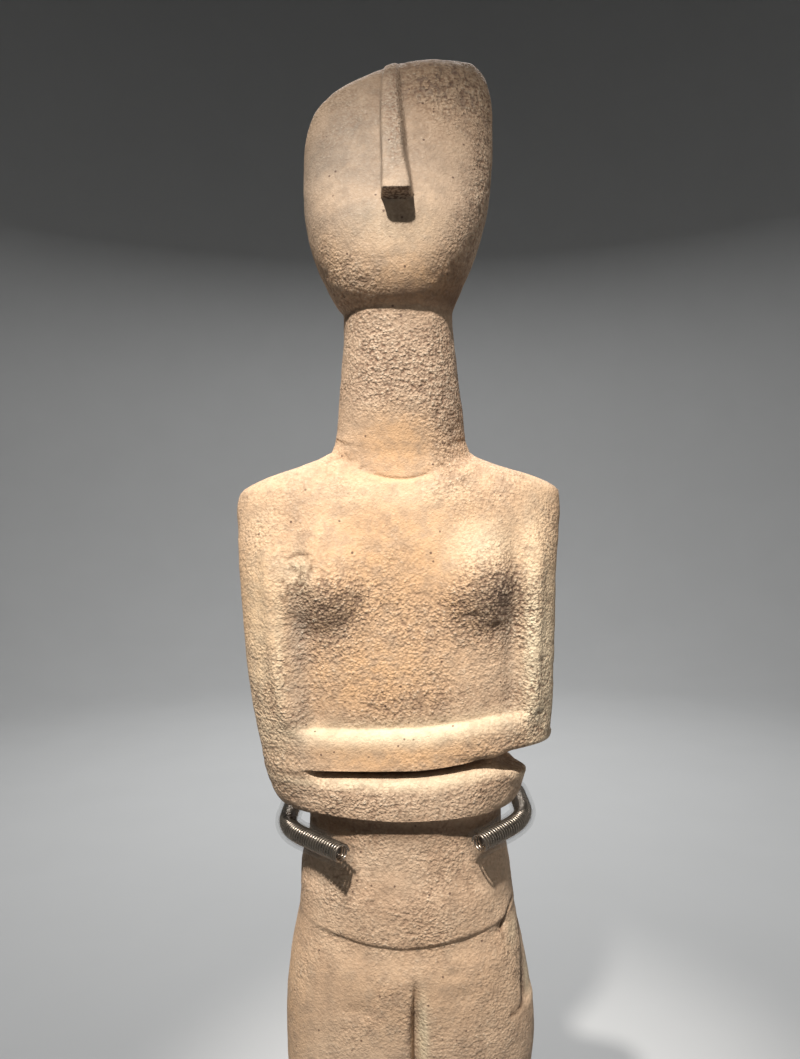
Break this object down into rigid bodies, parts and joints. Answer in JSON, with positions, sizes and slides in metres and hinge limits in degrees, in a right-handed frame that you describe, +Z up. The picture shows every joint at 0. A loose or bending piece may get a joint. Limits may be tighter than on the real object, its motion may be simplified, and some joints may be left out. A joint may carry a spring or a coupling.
{
  "type": "marble figurine on a display stand",
  "caption": "Tall abstract figure in weathered marble with folded arms and a ridge-like nose, held upright on its stand by a post and a bent cradle rod in clear sleeves.",
  "frame": {"origin": "centre of the base plate's underside", "axes": "+Z up, the figurine faces -Y, +X to the right of a viewer who faces it"},
  "size_m": [0.38, 0.32, 1.42],
  "materials": {
    "marble": "weathered warm beige, granular and pitted",
    "dark_metal": "fine matt powder coat",
    "steel": "dull drawn steel",
    "screw_steel": "dull steel",
    "clear_plastic": "clear, slightly clouded tube"
  },
  "bodies": {
    "root": {"figurine": "marble", "base_plate": "dark_metal", "toe_rest": "dark_metal", "post_socket": "dark_metal", "post": "dark_metal", "clamp_block": "dark_metal", "cradle_rod": "steel", "coil_left": "steel", "coil_right": "steel", "sleeve_left": "clear_plastic", "sleeve_right": "clear_plastic", "socket_screw_1": "screw_steel", "socket_screw_2": "screw_steel", "socket_screw_3": "screw_steel", "socket_screw_4": "screw_steel", "clamp_screw": "screw_steel"}
  },
  "joints": []
}
